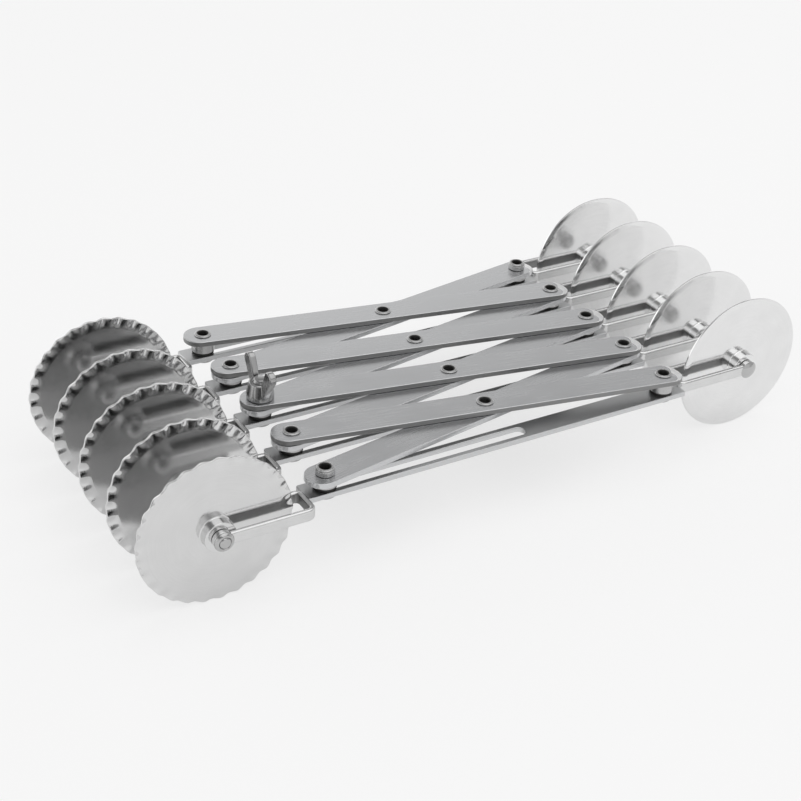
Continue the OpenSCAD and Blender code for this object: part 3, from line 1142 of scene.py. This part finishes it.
class SCENE_OT_studio(bpy.types.Operator):
    """Camera, pale floor and soft light"""

    bl_idname = "scene.cutter_studio"
    bl_label = "Studio"

    def execute(self, context):
        scene = context.scene
        look = scene.studio_look
        scene.view_settings.view_transform = "Standard"
        self.camera(scene)
        self.floor(scene, look)
        self.sky(scene, look)
        self.lamps(scene, look)
        return {"FINISHED"}

    def camera(self, scene):
        """Camera at the photograph's place, a little rolled."""
        azimuth = math.radians(-31.987)
        elevation = math.radians(31.803)
        roll = math.radians(3.533)
        back = Vector(
            (
                math.sin(azimuth) * math.cos(elevation),
                -math.cos(azimuth) * math.cos(elevation),
                math.sin(elevation),
            )
        )
        right = Vector((0, 0, 1)).cross(back).normalized()
        up = back.cross(right)
        turned_right = math.cos(roll) * right + math.sin(roll) * up
        turned_up = math.cos(roll) * up - math.sin(roll) * right
        facing = Matrix((turned_right, turned_up, back)).transposed()
        data = bpy.data.cameras.new("Photo camera")
        data.sensor_width = 36
        data.lens = 72.31
        data.clip_start = 0.01
        data.clip_end = 50
        place = (-0.28450, -0.43565, 0.33732)
        camera = bpy.data.objects.new("Photo camera", data)
        camera.matrix_world = Matrix.Translation(place) @ facing.to_4x4()
        scene.collection.objects.link(camera)
        scene.camera = camera

    def floor(self, scene, look):
        """Wide plain floor under the wheels, near white to the eye and less so in reflections."""
        half_width = 6
        drop = 0.02 * MM
        bm = bmesh.new()
        bmesh.ops.create_grid(bm, x_segments=1, y_segments=1, size=half_width)
        bmesh.ops.translate(bm, verts=bm.verts[:], vec=(0, 0, -drop))
        mesh = bpy.data.meshes.new("Floor")
        bm.to_mesh(mesh)
        bm.free()
        material, tree, shader = new_material("pale_floor", look.floor_colour)
        shader.inputs["Roughness"].default_value = 0.9
        shader.inputs["Specular IOR Level"].default_value = 0.1
        rays = add_node(tree, "ShaderNodeLightPath").outputs
        mirrored = computed(tree, "MAXIMUM", rays["Is Glossy Ray"], rays["Is Transmission Ray"])
        faint = computed(tree, "MULTIPLY", mirrored, look.mirrored_glow)
        share = computed(tree, "MULTIPLY_ADD", rays["Is Camera Ray"], look.floor_glow, faint)
        glow = add_node(tree, "ShaderNodeEmission", {"Color": (1, 1, 1, 1), "Strength": 1})
        mix_surface(
            tree, share, shader.outputs["BSDF"], glow.outputs["Emission"], "Material Output"
        )
        mesh.materials.append(material)
        floor = bpy.data.objects.new("Floor", mesh)
        scene.collection.objects.link(floor)

    def sky(self, scene, look):
        """Sky that darkens upwards, to the right and behind the camera; plain white to the eye."""
        world = bpy.data.worlds.new("Studio sky")
        scene.world = world
        world.use_nodes = True
        tree = world.node_tree
        background = tree.nodes["Background"]
        coords = add_node(tree, "ShaderNodeTexCoord").outputs["Generated"]
        parts = add_node(tree, "ShaderNodeSeparateXYZ", {"Vector": coords}).outputs
        rise = add_node(tree, "ShaderNodeValToRGB", {"Fac": parts["Z"]})
        stops = [
            (0.0, look.sky_low),
            (0.4, look.sky_low),
            (0.46, look.sky_low * 0.74),
            (0.5, look.sky_low * 0.54),
            (0.53, look.sky_low * 0.36),
            (0.6, look.sky_low * 0.27),
            (0.85, look.sky_high),
        ]
        ramp = rise.color_ramp
        while len(ramp.elements) < len(stops):
            ramp.elements.new(0.5)
        for element, (place, level) in zip(ramp.elements, stops):
            element.position = place
            element.color = (level, level, level, 1)
        depth = mapped(tree, parts["Y"], (-0.5, 0.3), (look.sky_behind, 1))
        side = mapped(tree, parts["X"], (0.39, 0.55), (1.22, 0.9))
        level = computed(tree, "MULTIPLY", depth, side)
        tree.links.new(rise.outputs["Color"], background.inputs["Color"])
        tree.links.new(level, background.inputs["Strength"])
        white = add_node(tree, "ShaderNodeBackground", {"Color": (1, 1, 1, 1), "Strength": 1})
        mix_surface(
            tree,
            add_node(tree, "ShaderNodeLightPath").outputs["Is Camera Ray"],
            background.outputs["Background"],
            white.outputs["Background"],
            "World Output",
        )

    def lamps(self, scene, look):
        """Two soft lamps in one place overhead, of which reflections show only the first."""
        place = Vector((0.35, -0.35, 1.5))
        for name, mirrored in (("Soft lamp", True), ("Floor lamp", False)):
            data = bpy.data.lights.new(name, "AREA")
            data.shape = "RECTANGLE"
            data.size = 2.4
            data.size_y = 2.0
            data.energy = look.lamp_power
            lamp = bpy.data.objects.new(name, data)
            lamp.location = place
            lamp.rotation_euler = (-place).to_track_quat("-Z", "Y").to_euler()
            lamp.visible_glossy = mirrored
            scene.collection.objects.link(lamp)


class VIEW3D_PT_dough_cutter(bpy.types.Panel):
    """Lists the steps that make the dough cutter"""

    bl_label = "Dough Cutter"
    bl_idname = "VIEW3D_PT_dough_cutter"
    bl_space_type = "VIEW_3D"
    bl_region_type = "UI"
    bl_category = "Dough Cutter"

    def draw(self, context):
        for operator in OPERATORS:
            self.layout.operator(operator.bl_idname)


GROUPS = (
    ("cutter_sizes", CutterSizes),
    ("cutter_finish", CutterFinish),
    ("studio_look", StudioLook),
)

OPERATORS = (
    OBJECT_OT_lattice_bars,
    OBJECT_OT_row_bars,
    OBJECT_OT_pivots,
    OBJECT_OT_forks,
    OBJECT_OT_axles,
    OBJECT_OT_plain_wheels,
    OBJECT_OT_fluted_wheels,
    OBJECT_OT_lock,
    SCENE_OT_studio,
)


def register():
    for name, group in GROUPS:
        bpy.utils.register_class(group)
        setattr(bpy.types.Scene, name, PointerProperty(type=group))
    for operator in OPERATORS:
        bpy.utils.register_class(operator)
    bpy.utils.register_class(VIEW3D_PT_dough_cutter)


def unregister():
    bpy.utils.unregister_class(VIEW3D_PT_dough_cutter)
    for operator in reversed(OPERATORS):
        bpy.utils.unregister_class(operator)
    for name, group in reversed(GROUPS):
        delattr(bpy.types.Scene, name)
        bpy.utils.unregister_class(group)


def main():
    register()
    bpy.ops.object.cutter_lattice_bars()
    bpy.ops.object.cutter_row_bars()
    bpy.ops.object.cutter_pivots()
    bpy.ops.object.cutter_forks()
    bpy.ops.object.cutter_axles()
    bpy.ops.object.cutter_plain_wheels()
    bpy.ops.object.cutter_fluted_wheels()
    bpy.ops.object.cutter_lock()
    bpy.ops.scene.cutter_studio()


if __name__ == "__main__":
    main()
